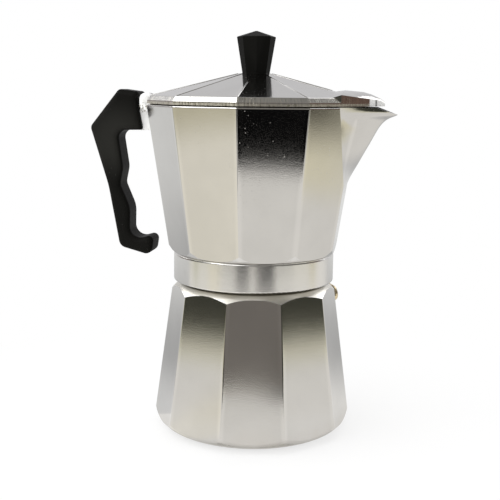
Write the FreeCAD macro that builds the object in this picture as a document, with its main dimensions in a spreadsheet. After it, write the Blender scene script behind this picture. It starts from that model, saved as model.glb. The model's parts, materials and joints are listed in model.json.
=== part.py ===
import FreeCAD, Part
import math
import os
import re

import Sketcher

# Stove-top coffee pot in millimetres. Z is up, the origin is the middle of the foot on the table,
# the spout points along +X and the handle along -X.

# Driving dimensions, one sheet cell each
DIMENSIONS = {
    # boiler
    "facet_count": 10,
    "foot_corner_radius": 52.0,
    "boiler_taper": 0.135,
    "boiler_turn": 9.7,
    "foot_limit_radius": 52.3,
    "foot_rounding": 14.4,
    "shoulder_low": 72.4,
    "shoulder_high": 76.6,
    "shoulder_radius": 37.8,
    "boiler_wall": 3.2,
    "boiler_floor": 4.0,
    "boiler_edge_rounding": 1.5,
    "neck_radius": 35.7,
    "neck_bore": 32.5,
    "neck_top": 88.5,
    # thread between the neck and the skirt
    "thread_pitch": 4.0,
    "thread_depth": 1.3,
    "thread_clearance": 0.3,
    "thread_root_width": 2.0,
    "thread_crest_width": 1.0,
    "thread_start": 79.4,
    "neck_thread_rise": 7.0,
    "skirt_thread_rise": 6.0,
    # safety valve, measured outwards from its facet
    "valve_height": 66.8,
    "valve_shank_radius": 4.0,
    "valve_shank_length": 4.6,
    "valve_seat_depth": 2.6,
    "valve_bore_radius": 3.0,
    "valve_port_radius": 1.5,
    "valve_washer_thickness": 0.8,
    "valve_washer_radius": 6.2,
    "valve_hex_radius": 6.0,
    "valve_hex_end": 3.6,
    "valve_cap_radius": 4.1,
    "valve_cap_end": 6.0,
    "valve_cap_plug": 1.0,
    "valve_stem_radius": 1.3,
    "valve_stem_clearance": 0.06,
    "valve_stem_end": 6.8,
    "valve_head_radius": 2.6,
    "valve_head_thickness": 1.2,
    "spring_radius": 2.1,
    "spring_wire": 0.5,
    "spring_turns": 3.2,
    # funnel, gasket and filter plate
    "funnel_sheet": 0.9,
    "funnel_flange_radius": 34.6,
    "basket_radius": 28.0,
    "basket_low": 67.0,
    "basket_ledge": 2.5,
    "stem_radius": 5.0,
    "stem_top": 60.2,
    "stem_low": 9.0,
    "plate_thickness": 0.8,
    "sieve_hole_radius": 0.8,
    "sieve_ring_step": 3.6,
    "sieve_rings": 6,
    "gasket_radius": 35.2,
    "gasket_bore": 27.2,
    "gasket_thickness": 4.8,
    "plate_radius": 31.1,
    # upper chamber
    "skirt_radius": 41.1,
    "skirt_low": 78.0,
    "skirt_high": 92.2,
    "skirt_edge_rounding": 0.8,
    "waist_low": 91.4,
    "waist_radius": 40.8,
    "waist_rise": 9.0,
    "hollow_foot_radius": 36.0,
    "hollow_low_radius": 39.5,
    "rim_height": 166.5,
    "rim_corner_radius": 54.9,
    "chamber_flare": 0.156,
    "chamber_wall": 2.6,
    "floor_high": 97.6,
    "floor_recess": 1.4,
    "chamber_edge_rounding": 1.0,
    # spout
    "spout_low": 124.0,
    "spout_foot": 44.5,
    "spout_slope": 0.545,
    "spout_keel_slope": 0.46,
    "spout_half_width": 27.4,
    "spout_spread": 0.323,
    "spout_wall": 2.2,
    "spout_nose_radius": 4.0,
    "lip_root": 157.0,
    "lip_flare": 0.15,
    "lip_start": 61.0,
    "lip_reach": 71.0,
    "lip_height": 163.0,
    "lip_spare": 1.2,
    "rim_edge_rounding": 0.7,
    # hinge and bracket
    "hinge_reach": 55.5,
    "hinge_height": 169.0,
    "hinge_pin_radius": 1.4,
    "hinge_clearance": 0.05,
    "tongue_half_width": 3.0,
    "ear_inner": 3.3,
    "ear_outer": 6.8,
    "ear_radius": 3.1,
    "ear_low": 162.6,
    "web_half_width": 4.2,
    "web_low": 153.2,
    "tenon_half_width": 4.2,
    "tenon_low": 156.0,
    "tenon_high": 163.6,
    "tenon_end": 66.0,
    # coffee column
    "column_spigot_radius": 7.0,
    "column_fit": 0.05,
    "column_foot_radius": 9.6,
    "column_top_radius": 6.4,
    "column_top": 150.0,
    "column_bore": 4.4,
    "outlet_width": 4.6,
    "outlet_height": 6.0,
    # lid
    "lid_low": 167.0,
    "lid_band_top": 168.7,
    "lid_eave": 171.0,
    "lid_corner_radius": 54.5,
    "lid_shrink": 1.6,
    "lid_edge_rounding": 0.5,
    "lid_seat_radius": 8.2,
    "lid_top": 182.4,
    "lid_sheet": 1.8,
    "visor_nose": 64.7,
    # knob and its fasteners
    "knob_sides": 8,
    "knob_turn": 10.0,
    "knob_foot_radius": 6.9,
    "knob_top_radius": 9.8,
    "knob_edge": 200.3,
    "knob_apex": 203.2,
    "insert_radius": 3.4,
    "insert_length": 9.0,
    "screw_radius": 2.0,
    "knob_screw_length": 9.0,
    "screw_head_radius": 3.6,
    "screw_head_thickness": 2.2,
    "washer_radius": 4.6,
    "washer_thickness": 0.8,
    # handle
    "handle_thickness": 17.0,
    "handle_front": 59.0,
    "handle_back": 85.0,
    "handle_top": 174.0,
    "handle_foot": 88.9,
    "handle_edge_rounding": 3.0,
    "handle_gap": 0.1,
    "handle_screw_height": 159.8,
    "handle_screw_seat": 74.0,
    "handle_screw_tip": 61.5,
    "handle_counterbore": 4.0,
}

Z_AXIS = FreeCAD.Vector(0, 0, 1)
HALF_FACET = 18
OVERCUT = 1.0
EMBED = 0.4

doc = FreeCAD.newDocument("MokaPot")
sizes = doc.addObject("Spreadsheet::Sheet", "Sizes")
for row, (alias, amount) in enumerate(DIMENSIONS.items(), start=1):
    sizes.set("A%d" % row, alias)
    sizes.set("B%d" % row, str(amount))
    sizes.setAlias("B%d" % row, alias)
doc.recompute()

subparts = []


def bound(expression):
    """Return the expression with each dimension's name pointing at its cell."""
    def point_at_cell(match):
        word = match.group(0)
        return "Sizes." + word if word in DIMENSIONS else word
    return re.sub(r"[a-z_]+", point_at_cell, str(expression))


def number(expression):
    """Return the value of an expression on the dimensions."""
    return float(sizes.evalExpression(str(expression)))


def keep(feature, label):
    """Name a finished sub-part and list it for writing."""
    feature.Label = label
    subparts.append(feature)
    return feature


def set_sizes(feature, **expressions):
    """Bind properties of a feature to expressions on the dimensions."""
    for name, expression in expressions.items():
        feature.setExpression(name, bound(expression))
    return feature


def new_body(name):
    """Add an empty body."""
    return doc.addObject("PartDesign::Body", name)


def origin_plane(body, role):
    """Return one of a body's own origin planes."""
    return next(plane for plane in body.Origin.OriginFeatures if plane.Role == role)


def outline_sketch(body, name, corners, role="XZ_Plane"):
    """Draw a closed outline through corners given as pairs of expressions."""
    sketch = body.newObject("Sketcher::SketchObject", name)
    sketch.AttachmentSupport = (origin_plane(body, role), [""])
    sketch.MapMode = "FlatFace"
    points = [FreeCAD.Vector(number(across), number(up), 0) for across, up in corners]
    count = len(points)
    for index, point in enumerate(points):
        sketch.addGeometry(Part.LineSegment(point, points[(index + 1) % count]), False)
    for index in range(count):
        sketch.addConstraint(Sketcher.Constraint("Coincident", index, 2, (index + 1) % count, 1))
    for index, (across, up) in enumerate(corners):
        for kind, expression in (("DistanceX", across), ("DistanceY", up)):
            constraint = Sketcher.Constraint(kind, -1, 1, index, 1, number(expression))
            place = sketch.addConstraint(constraint)
            sketch.setExpression("Constraints[%d]" % place, bound(expression))
    return sketch


def circle_sketch(body, name, across, up, radius, role="XZ_Plane"):
    """Draw one circle whose centre and radius are expressions."""
    sketch = body.newObject("Sketcher::SketchObject", name)
    sketch.AttachmentSupport = (origin_plane(body, role), [""])
    sketch.MapMode = "FlatFace"
    centre = FreeCAD.Vector(number(across), number(up), 0)
    sketch.addGeometry(Part.Circle(centre, Z_AXIS, number(radius)), False)
    rules = (
        (Sketcher.Constraint("DistanceX", -1, 1, 0, 3, centre.x), across),
        (Sketcher.Constraint("DistanceY", -1, 1, 0, 3, centre.y), up),
        (Sketcher.Constraint("Radius", 0, number(radius)), radius),
    )
    for constraint, expression in rules:
        place = sketch.addConstraint(constraint)
        sketch.setExpression("Constraints[%d]" % place, bound(expression))
    return sketch


def turned_body(name, corners):
    """Turn an outline of (radius, height) corners about the Z axis."""
    body = new_body(name)
    sketch = outline_sketch(body, name + "Profile", corners)
    turning = body.newObject("PartDesign::Revolution", name + "Turning")
    turning.Profile = sketch
    turning.ReferenceAxis = (sketch, ["V_Axis"])
    turning.Angle = 360
    doc.recompute()
    return body


def round_body_edges(body, name, radius, wanted):
    """Fillet the edges of a body's tip that the test picks out."""
    base = body.Tip
    edges = ["Edge%d" % (i + 1) for i, edge in enumerate(base.Shape.Edges) if wanted(edge)]
    fillet = body.newObject("PartDesign::Fillet", name)
    fillet.Base = (base, edges)
    set_sizes(fillet, Radius=radius)
    doc.recompute()
    return body


def add_thread(body, name, corners, rise):
    """Wind a ridge of the given section round the Z axis, right-handed."""
    sketch = outline_sketch(body, name + "Section", corners)
    ridge = body.newObject("PartDesign::AdditiveHelix", name)
    ridge.Profile = sketch
    ridge.ReferenceAxis = (sketch, ["V_Axis"])
    ridge.Mode = 0
    set_sizes(ridge, Pitch="thread_pitch", Height=rise)
    doc.recompute()
    return body


def polygon(name, sides, radius, height, turn):
    """Add a level regular polygon about the Z axis."""
    section = doc.addObject("Part::RegularPolygon", name)
    section.Placement = FreeCAD.Placement(FreeCAD.Vector(), FreeCAD.Rotation(Z_AXIS, number(turn)))
    set_sizes(section, Polygon=sides, Circumradius=radius)
    section.setExpression("Placement.Base.z", bound(height))
    return section


def polygon_loft(name, sections, sides="facet_count", turn=HALF_FACET, ruled=True):
    """Loft a solid through level polygons given as (corner radius, height)."""
    loft = doc.addObject("Part::Loft", name)
    loft.Sections = [
        polygon("%sSection%d" % (name, index), sides, radius, height, turn)
        for index, (radius, height) in enumerate(sections)
    ]
    loft.Solid = True
    loft.Ruled = ruled
    doc.recompute()
    return loft


def round_edges(name, base, radius, wanted):
    """Fillet the edges of a shape that the test picks out."""
    fillet = doc.addObject("Part::Fillet", name)
    fillet.Base = base
    amount = number(radius)
    fillet.Edges = [
        (i + 1, amount, amount) for i, edge in enumerate(base.Shape.Edges) if wanted(edge)
    ]
    doc.recompute()
    return fillet


def cylinder(name, radius, length, place=None):
    """Add a cylinder along Z, or along its placement's own Z."""
    rod = doc.addObject("Part::Cylinder", name)
    set_sizes(rod, Radius=radius, Height=length)
    if place is not None:
        rod.Placement = place
    doc.recompute()
    return rod


def box(name, low, high):
    """Add a box between two corners given as triples of expressions."""
    block = doc.addObject("Part::Box", name)
    for side, start, end in zip(("Length", "Width", "Height"), low, high):
        block.setExpression(side, bound("(%s) - (%s)" % (end, start)))
    for axis, start in zip("xyz", low):
        block.setExpression("Placement.Base." + axis, bound(start))
    doc.recompute()
    return block


def fused(name, *pieces, refine=True):
    """Join pieces into one solid."""
    whole = doc.addObject("Part::MultiFuse", name)
    whole.Shapes = list(pieces)
    whole.Refine = refine
    doc.recompute()
    return whole


def common(name, *pieces):
    """Keep what all the pieces share."""
    whole = doc.addObject("Part::MultiCommon", name)
    whole.Shapes = list(pieces)
    doc.recompute()
    return whole


def cut(name, base, *tools):
    """Take tools away from a base, one after another."""
    for index, tool in enumerate(tools):
        step = doc.addObject("Part::Cut", name + str(index))
        step.Base = base
        step.Tool = tool
        base = step
    doc.recompute()
    return base


def solid(name, shape):
    """Add a shape made from wires as a feature of its own."""
    feature = doc.addObject("Part::Feature", name)
    feature.Shape = shape
    return feature


def is_steep(edge):
    """Tell whether an edge runs mostly upwards."""
    start = edge.valueAt(edge.FirstParameter)
    end = edge.valueAt(edge.LastParameter)
    return abs(end.z - start.z) > 0.8 * (end - start).Length > 0


def is_circle_at(edge, radius, height):
    """Tell whether an edge is a level circle of that radius and height."""
    if not isinstance(edge.Curve, Part.Circle):
        return False
    same_radius = abs(edge.Curve.Radius - radius) < 0.01
    return same_radius and abs(edge.CenterOfMass.z - height) < 0.01


def along_y(across, up, start):
    """Return a placement at (across, start, up) whose own Z runs along +Y."""
    turn = FreeCAD.Rotation(FreeCAD.Vector(1, 0, 0), -90)
    return FreeCAD.Placement(FreeCAD.Vector(number(across), number(start), number(up)), turn)


def along_x(start, up):
    """Return a placement on the Y = 0 plane whose own Z runs along +X."""
    turn = FreeCAD.Rotation(FreeCAD.Vector(0, 1, 0), 90)
    return FreeCAD.Placement(FreeCAD.Vector(number(start), 0, number(up)), turn)


def valve_place():
    """Return the placement on the valve's facet whose own Z points straight out of it."""
    across = math.radians(number("boiler_turn") + HALF_FACET)
    facet = number("(foot_corner_radius - boiler_taper * valve_height) * cos(%d)" % HALF_FACET)
    lean = number("boiler_taper * cos(%d)" % HALF_FACET)
    outwards = FreeCAD.Vector(math.cos(across), math.sin(across), lean)
    foot = FreeCAD.Vector(facet * math.cos(across), facet * math.sin(across), number("valve_height"))
    return FreeCAD.Placement(foot, FreeCAD.Rotation(Z_AXIS, outwards))


def ridge_section(root, crest, middle):
    """Return the corners of a thread ridge between two radii about a middle height."""
    half_root = "thread_root_width / 2"
    half_crest = "thread_crest_width / 2"
    return [
        (root, "%s - %s" % (middle, half_root)),
        (crest, "%s - %s" % (middle, half_crest)),
        (crest, "%s + %s" % (middle, half_crest)),
        (root, "%s + %s" % (middle, half_root)),
    ]


def make_boiler():
    """Cast base: a ten-sided taper with a turned foot and shoulder, and a threaded neck."""
    top_radius = "foot_corner_radius - boiler_taper * shoulder_high"
    low_corner = "(foot_corner_radius - boiler_taper * shoulder_low)"
    cone_slope = "(shoulder_high - shoulder_low) / (%s - shoulder_radius)" % low_corner
    cone_low = "shoulder_high - (foot_limit_radius - shoulder_radius) * " + cone_slope
    taper = polygon_loft(
        "BoilerTaper", [("foot_corner_radius", 0), (top_radius, "shoulder_high")], turn="boiler_turn"
    )
    taper = round_edges("BoilerCorners", taper, "boiler_edge_rounding", is_steep)
    envelope = turned_body("BoilerEnvelope", [
        (0, 0),
        ("foot_limit_radius", 0),
        ("foot_limit_radius", cone_low),
        ("shoulder_radius", "shoulder_high"),
        (0, "shoulder_high"),
    ])
    foot_edge = number("foot_limit_radius")
    round_body_edges(envelope, "FootRounding", "foot_rounding", lambda e: is_circle_at(e, foot_edge, 0))

    neck = turned_body("Neck", [
        ("neck_bore", "shoulder_low"),
        ("neck_radius", "shoulder_low"),
        ("neck_radius", "neck_top"),
        ("neck_bore", "neck_top"),
    ])
    root = "neck_radius - %s" % EMBED
    add_thread(
        neck, "NeckThread", ridge_section(root, "neck_radius + thread_depth", "thread_start"), "neck_thread_rise"
    )

    inside = "(foot_corner_radius - boiler_taper * %s) * cos({}) - boiler_wall".format(HALF_FACET)
    throat_low = "shoulder_low - 5"
    cavity = turned_body("BoilerCavity", [
        (0, "boiler_floor"),
        (inside % "boiler_floor", "boiler_floor"),
        (inside % "(%s)" % throat_low, throat_low),
        ("neck_bore", "shoulder_low + 0.6"),
        ("neck_bore", "neck_top + %s" % OVERCUT),
        (0, "neck_top + %s" % OVERCUT),
    ])
    floor_edge = number(inside % "boiler_floor")
    floor_height = number("boiler_floor")
    round_body_edges(
        cavity, "FloorRounding", "foot_rounding - boiler_wall",
        lambda e: is_circle_at(e, floor_edge, floor_height),
    )
    place = valve_place()
    hole_start = place.multiply(FreeCAD.Placement(FreeCAD.Vector(0, 0, -12), FreeCAD.Rotation()))
    hole = cylinder("ValveHole", "valve_shank_radius", 20, hole_start)

    shell = common("BoilerShell", taper, envelope)
    whole = fused("BoilerWhole", shell, neck)
    keep(cut("Boiler", whole, cavity, hole), "boiler")


def make_valve():
    """Brass safety valve: body, sealing washer, spring-loaded plunger and end cap."""
    place = valve_place()
    washer = cut(
        "ValveWasher",
        cylinder("ValveWasherDisc", "valve_washer_radius", "valve_washer_thickness"),
        cylinder("ValveWasherHole", "valve_shank_radius + 0.05", "valve_washer_thickness"),
    )
    washer.Placement = place
    keep(washer, "valve_washer")

    hexagon = doc.addObject("Part::Prism", "ValveHexagon")
    hexagon.Polygon = 6
    set_sizes(hexagon, Circumradius="valve_hex_radius", Height="valve_hex_end - valve_washer_thickness")
    hexagon.setExpression("Placement.Base.z", bound("valve_washer_thickness"))
    shank = turned_body("ValveShank", [
        ("valve_port_radius", "-valve_shank_length"),
        ("valve_shank_radius - 0.02", "-valve_shank_length"),
        ("valve_shank_radius - 0.02", "valve_washer_thickness + %s" % EMBED),
        ("valve_port_radius", "valve_washer_thickness + %s" % EMBED),
    ])
    bore = turned_body("ValveBore", [
        (0, "-valve_seat_depth"),
        ("valve_bore_radius", "-valve_seat_depth"),
        ("valve_bore_radius", "valve_hex_end + %s" % OVERCUT),
        (0, "valve_hex_end + %s" % OVERCUT),
    ])
    body = cut("ValveBody", fused("ValveBlank", hexagon, shank), bore)
    body.Placement = place
    keep(body, "valve_body")

    stem_hole = "valve_stem_radius + valve_stem_clearance"
    cap = turned_body("ValveCap", [
        (stem_hole, "valve_hex_end - valve_cap_plug"),
        ("valve_bore_radius - 0.02", "valve_hex_end - valve_cap_plug"),
        ("valve_bore_radius - 0.02", "valve_hex_end"),
        ("valve_cap_radius", "valve_hex_end"),
        ("valve_cap_radius", "valve_cap_end"),
        (stem_hole, "valve_cap_end"),
    ])
    cap_radius = number("valve_cap_radius")
    cap_end = number("valve_cap_end")
    round_body_edges(cap, "ValveCapEdge", 1.6, lambda e: is_circle_at(e, cap_radius, cap_end))
    cap.Placement = place
    keep(cap, "valve_cap")

    head_low = "-valve_seat_depth + 0.02"
    head_high = "-valve_seat_depth + valve_head_thickness"
    plunger = turned_body("ValvePlunger", [
        (0, head_low),
        ("valve_head_radius", head_low),
        ("valve_head_radius", head_high),
        ("valve_stem_radius", head_high),
        ("valve_stem_radius", "valve_stem_end"),
        (0, "valve_stem_end"),
    ])
    stem_radius = number("valve_stem_radius")
    stem_end = number("valve_stem_end")
    round_body_edges(plunger, "ValveStemEnd", 0.5, lambda e: is_circle_at(e, stem_radius, stem_end))
    plunger.Placement = place
    keep(plunger, "valve_plunger")

    spring = new_body("ValveSpring")
    wire_low = head_high + " + spring_wire / 2 + 0.02"
    wire_high = "valve_hex_end - valve_cap_plug - spring_wire / 2 - 0.02"
    rise = "(%s) - (%s)" % (wire_high, wire_low)
    section = circle_sketch(spring, "SpringWire", "spring_radius", wire_low, "spring_wire / 2")
    coil = spring.newObject("PartDesign::AdditiveHelix", "SpringCoil")
    coil.Profile = section
    coil.ReferenceAxis = (section, ["V_Axis"])
    coil.Mode = 0
    set_sizes(coil, Pitch="(%s) / spring_turns" % rise, Height=rise)
    doc.recompute()
    print("spring gap between turns", round(number("(%s) / spring_turns - spring_wire" % rise), 2))
    spring.Placement = place
    keep(spring, "valve_spring")


def perforated_disc(label, radius, low):
    """Turned disc with a middle hole and rings of sieve holes."""
    name = label.title().replace("_", "")
    body = turned_body(name, [
        (0, low),
        (radius, low),
        (radius, low + " + plate_thickness"),
        (0, low + " + plate_thickness"),
    ])
    blank = number("pi * (%s)^2 * plate_thickness" % radius)
    for ring in range(int(number("sieve_rings")) + 1):
        across = "%d * sieve_ring_step" % ring
        hole = circle_sketch(body, "%sRing%d" % (name, ring), across, 0, "sieve_hole_radius", "XY_Plane")
        pocket = body.newObject("PartDesign::Pocket", "%sHole%d" % (name, ring))
        pocket.Profile = hole
        pocket.Type = "ThroughAll"
        pocket.Midplane = True
        body.Tip = pocket
        doc.recompute()
        if ring == 0:
            continue
        pattern = body.newObject("PartDesign::PolarPattern", "%sHoles%d" % (name, ring))
        pattern.Originals = [pocket]
        pattern.Axis = (hole, ["N_Axis"])
        pattern.Angle = 360
        pattern.Occurrences = 6 * ring
        body.Tip = pattern
        doc.recompute()
    print(label, "open share", round(1 - body.Shape.Volume / blank, 3))
    keep(body, label)


def make_funnel():
    """Basket with its flange on the neck, a ledge for its sieve, and a stem that reaches down."""
    flange_top = "neck_top + funnel_sheet"
    outside = "basket_radius + funnel_sheet"
    ledge_radius = "basket_radius - basket_ledge"
    ledge = "basket_low + funnel_sheet"
    funnel = turned_body("Funnel", [
        ("basket_radius", flange_top),
        ("basket_radius", ledge),
        (ledge_radius, ledge),
        ("stem_radius - funnel_sheet", "stem_top + funnel_sheet"),
        ("stem_radius - funnel_sheet", "stem_low"),
        ("stem_radius", "stem_low"),
        ("stem_radius", "stem_top"),
        (ledge_radius, "basket_low"),
        (outside, "basket_low"),
        (outside, "neck_top"),
        ("funnel_flange_radius", "neck_top"),
        ("funnel_flange_radius", flange_top),
    ])
    keep(funnel, "funnel")
    perforated_disc("funnel_screen", "basket_radius - 0.15", ledge)


def make_seal():
    """Rubber gasket with a rebate that holds the perforated filter plate."""
    low = "neck_top + funnel_sheet"
    high = low + " + gasket_thickness"
    rebate = high + " - plate_thickness"
    gasket = turned_body("Gasket", [
        ("gasket_bore", low),
        ("gasket_radius", low),
        ("gasket_radius", high),
        ("plate_radius + 0.1", high),
        ("plate_radius + 0.1", rebate),
        ("gasket_bore", rebate),
    ])
    keep(gasket, "gasket")
    perforated_disc("filter_plate", "plate_radius", rebate)


# Heights of the spout's sections, as shares of the way from its foot to just above the rim
SPOUT_SHARES = (0.0, 0.07, 0.16, 0.3, 0.46, 0.62, 0.74, 0.81, 0.86, 0.9, 0.94, 1.0)


def chamber_corner_radius(height):
    """Return the outside corner radius of the flaring chamber at a height."""
    return number("rim_corner_radius - chamber_flare * (rim_height - %s)" % height)


def facet_reach(half_width, height):
    """Return how far out the facet beside the spout's own facet is, at a distance to the side."""
    flat = chamber_corner_radius(height) * math.cos(math.radians(HALF_FACET))
    lean = math.radians(2 * HALF_FACET)
    return (flat - half_width * math.sin(lean)) / math.cos(lean)


def wall_reach(half_width, height):
    """Return how far out the ten-sided wall is, at a distance to the side of the spout's middle."""
    flat = chamber_corner_radius(height) * math.cos(math.radians(HALF_FACET))
    return min(flat, facet_reach(half_width, height))


def spout_height(share):
    """Return the height at a share of the way up the spout."""
    low = number("spout_low")
    return low + share * (number("rim_height") + OVERCUT - low)


def spout_half_width(height):
    """Return how far to the side the spout's crease is on the wall."""
    return number("spout_half_width - spout_spread * (rim_height - %s)" % height)


def spout_front(height):
    """Return how far out the pouring edge is: a straight rise that flares into the lip."""
    straight = number("spout_foot + spout_slope * (%s - spout_low)" % height)
    above_root = max(0.0, height - number("lip_root"))
    return min(straight + number("lip_flare") * above_root ** 2, number("lip_reach + lip_spare"))


def spout_section(height, inset):
    """Return one level section of the spout as a closed wire, inset by a wall thickness."""
    bury = 2 * inset if inset else 0.15
    half_width = spout_half_width(height) - inset
    side = wall_reach(half_width, height) - bury
    front = max(spout_front(height) - inset, side + 0.6)
    nose = min(number("spout_nose_radius"), 0.45 * (front - side))
    back = 30.0
    # The two straight sides are tangent to a round nose
    tip = front
    for _ in range(6):
        half_angle = math.atan2(half_width, tip - side)
        tip = front + nose * (1 / math.sin(half_angle) - 1)
    tangent = nose / math.tan(half_angle)
    touch_x = tip - tangent * math.cos(half_angle)
    touch_y = tangent * math.sin(half_angle)
    corners = [
        FreeCAD.Vector(x, y, height)
        for x, y in (
            (back, -half_width), (side, -half_width), (touch_x, -touch_y),
            (touch_x, touch_y), (side, half_width), (back, half_width),
        )
    ]
    edges = [
        Part.LineSegment(corners[0], corners[1]).toShape(),
        Part.LineSegment(corners[1], corners[2]).toShape(),
        Part.Arc(corners[2], FreeCAD.Vector(front, 0, height), corners[3]).toShape(),
        Part.LineSegment(corners[3], corners[4]).toShape(),
        Part.LineSegment(corners[4], corners[5]).toShape(),
        Part.LineSegment(corners[5], corners[0]).toShape(),
    ]
    return Part.Wire(edges)


def corner_trim(name, hand):
    """Return the tool that takes off the wall's corner under one side of the spout."""
    far = 40.0
    lean = math.radians(2 * HALF_FACET)
    sections = []
    for height in (number("spout_low + 1.5"), number("rim_height + 2")):
        half_width = spout_half_width(height)
        crease_x = facet_reach(half_width, height) - 0.3
        keel_x = number("spout_foot + spout_keel_slope * (%s - spout_low)" % height)
        outline = [
            (crease_x, half_width),
            (keel_x, 0.0),
            (keel_x + far, 0.0),
            (crease_x + far * math.cos(lean), half_width + far * math.sin(lean)),
        ]
        points = [FreeCAD.Vector(x, hand * y, height) for x, y in outline]
        sections.append(Part.makePolygon(points + points[:1]))
    return solid(name, Part.makeLoft(sections, True, True))


def make_bracket():
    """Return the cast bracket: web, two hinge ears and the tenon for the handle."""
    inside_wall = "-46"
    web = box("Web", ("-handle_front + 0.1", "-web_half_width", "web_low"),
              (inside_wall, "web_half_width", "hinge_height - 3.6"))
    tenon = box("Tenon", ("-tenon_end", "-tenon_half_width", "tenon_low"),
                ("-handle_front + 2", "tenon_half_width", "tenon_high"))
    ears = []
    for name, start, end in (("Near", "-ear_outer", "-ear_inner"), ("Far", "ear_inner", "ear_outer")):
        body = new_body("Ear" + name)
        sketch = outline_sketch(body, "Ear%sOutline" % name, [
            ("-hinge_reach + ear_radius", "hinge_height"),
            ("-hinge_reach + ear_radius", "hinge_height - 4.6"),
            ("-46", "hinge_height - 4.6"),
            ("-46", "web_low + 4"),
            ("-hinge_reach + 1.5", "ear_low"),
            ("-hinge_reach - ear_radius", "ear_low + 2.4"),
            ("-hinge_reach - ear_radius", "hinge_height"),
        ])
        pad = body.newObject("PartDesign::Pad", "Ear%sPad" % name)
        pad.Profile = sketch
        pad.Reversed = True
        set_sizes(pad, Length="ear_outer - ear_inner")
        doc.recompute()
        body.Placement.Base.y = number(start)
        eye = cylinder("Ear%sEye" % name, "ear_radius", "ear_outer - ear_inner",
                       along_y("-hinge_reach", "hinge_height", start))
        ears += [body, eye]
    return fused("Bracket", web, tenon, *ears)


def make_upper_chamber():
    """Cast jug: flaring ten-sided wall, spout, threaded skirt, floor and handle bracket."""
    top_corner = "rim_corner_radius"
    low_corner = "(rim_corner_radius - chamber_flare * (rim_height - waist_low))"
    taper = polygon_loft("ChamberTaper", [(low_corner, "waist_low"), (top_corner, "rim_height")])
    rim = number("rim_height")
    taper = round_edges("ChamberCorners", taper, "chamber_edge_rounding", is_steep)
    taper = round_edges("RimEdges", taper, "rim_edge_rounding", lambda e: e.BoundBox.ZMin > rim - 0.01)
    # The facets end in arcs where this turned flare cuts them above the ring
    flare_steps = ((0.0, 0.0), (0.0, 0.1), (0.38, 0.26), (0.74, 0.52), (1.0, 0.92))
    flare_reach = "(%s + chamber_flare * waist_rise - waist_radius + 0.4)" % low_corner
    flare = [
        ("waist_radius + %s * %s" % (out, flare_reach), "waist_low + %s * waist_rise" % up)
        for out, up in flare_steps
    ]
    envelope = turned_body("WaistEnvelope", [
        (0, "waist_low"),
        *flare,
        ("rim_corner_radius + 12", "waist_low + 1.5 * waist_rise"),
        ("rim_corner_radius + 12", "rim_height + %s" % OVERCUT),
        (0, "rim_height + %s" % OVERCUT),
    ])
    wall = common("ChamberWall", taper, envelope)
    wall = cut("ChamberTrimmed", wall, corner_trim("CornerTrimNear", -1), corner_trim("CornerTrimFar", 1))
    bore = "neck_radius + thread_depth + thread_clearance"
    skirt = turned_body("Skirt", [
        (bore, "skirt_low"),
        ("skirt_radius", "skirt_low"),
        ("skirt_radius", "skirt_high"),
        (bore, "skirt_high"),
    ])
    ring_radius = number("skirt_radius")
    ring_edges = (number("skirt_low"), number("skirt_high"))
    round_body_edges(
        skirt, "SkirtEdges", "skirt_edge_rounding",
        lambda e: any(is_circle_at(e, ring_radius, height) for height in ring_edges),
    )
    crest = "neck_radius + thread_clearance"
    middle = "thread_start + thread_pitch / 2"
    add_thread(
        skirt, "SkirtThread", ridge_section("%s + %s" % (bore, EMBED), crest, middle), "skirt_thread_rise"
    )
    heights = [spout_height(share) for share in SPOUT_SHARES]
    spout = solid("Spout", Part.makeLoft([spout_section(height, 0.0) for height in heights], True, False))
    rim_trim = box("RimTrim", ("-20", "-60", "rim_height"), ("90", "60", "rim_height + 20"))
    lip_body = new_body("LipTrim")
    lip_sketch = outline_sketch(lip_body, "LipOutline", [
        ("lip_start", "rim_height"),
        ("lip_reach", "lip_height"),
        ("lip_reach + 20", "lip_height - 7"),
        ("lip_reach + 20", "rim_height + 8"),
        ("lip_start", "rim_height + 8"),
    ])
    lip_cut = lip_body.newObject("PartDesign::Pad", "LipPad")
    lip_cut.Profile = lip_sketch
    lip_cut.Midplane = True
    lip_cut.Length = 60
    doc.recompute()
    spout = cut("SpoutTrimmed", spout, rim_trim, lip_body)
    bracket = make_bracket()
    blank = fused("ChamberBlank", wall, spout, bracket)

    inset = "chamber_wall / cos(%d)" % HALF_FACET
    rim_cut = "rim_height + %s" % OVERCUT
    cavity_top = "%s + %s * chamber_flare - %s" % (top_corner, OVERCUT, inset)
    cavity_low = "waist_low + 1.3 * waist_rise"
    cavity_foot = "(rim_corner_radius - chamber_flare * (rim_height - %s)) - %s" % (cavity_low, inset)
    cavity = polygon_loft("ChamberCavity", [(cavity_foot, cavity_low), (cavity_top, rim_cut)])
    hollow = polygon_loft("WaistCavity", [
        ("hollow_foot_radius", "floor_high"),
        ("hollow_low_radius", "floor_high + 1.5"),
        (cavity_foot, cavity_low),
    ])
    channel = solid(
        "PouringChannel",
        Part.makeLoft([spout_section(height, number("spout_wall")) for height in heights[2:]], True, True),
    )
    floor_low = "neck_top + funnel_sheet + gasket_thickness"
    relief = bore + " + 0.15"
    underside = turned_body("Underside", [
        (0, "waist_low - %s" % OVERCUT),
        (relief, "waist_low - %s" % OVERCUT),
        (relief, floor_low),
        ("gasket_bore - 0.5", floor_low),
        ("column_foot_radius + 3", floor_low + " + floor_recess"),
        ("column_spigot_radius", floor_low + " + floor_recess"),
        ("column_spigot_radius", "floor_high + %s" % OVERCUT),
        (0, "floor_high + %s" % OVERCUT),
    ])
    pin_hole = cylinder("EarHoles", "hinge_pin_radius", 30, along_y("-hinge_reach", "hinge_height", "-15"))
    screw_hole = cylinder("TenonHole", "screw_radius", 12, along_x("-tenon_end - 1", "handle_screw_height"))
    shell = cut(
        "ChamberShell", blank, cavity, hollow, channel, underside, pin_hole, screw_hole
    )
    keep(fused("UpperChamber", shell, skirt, refine=False), "upper_chamber")


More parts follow.
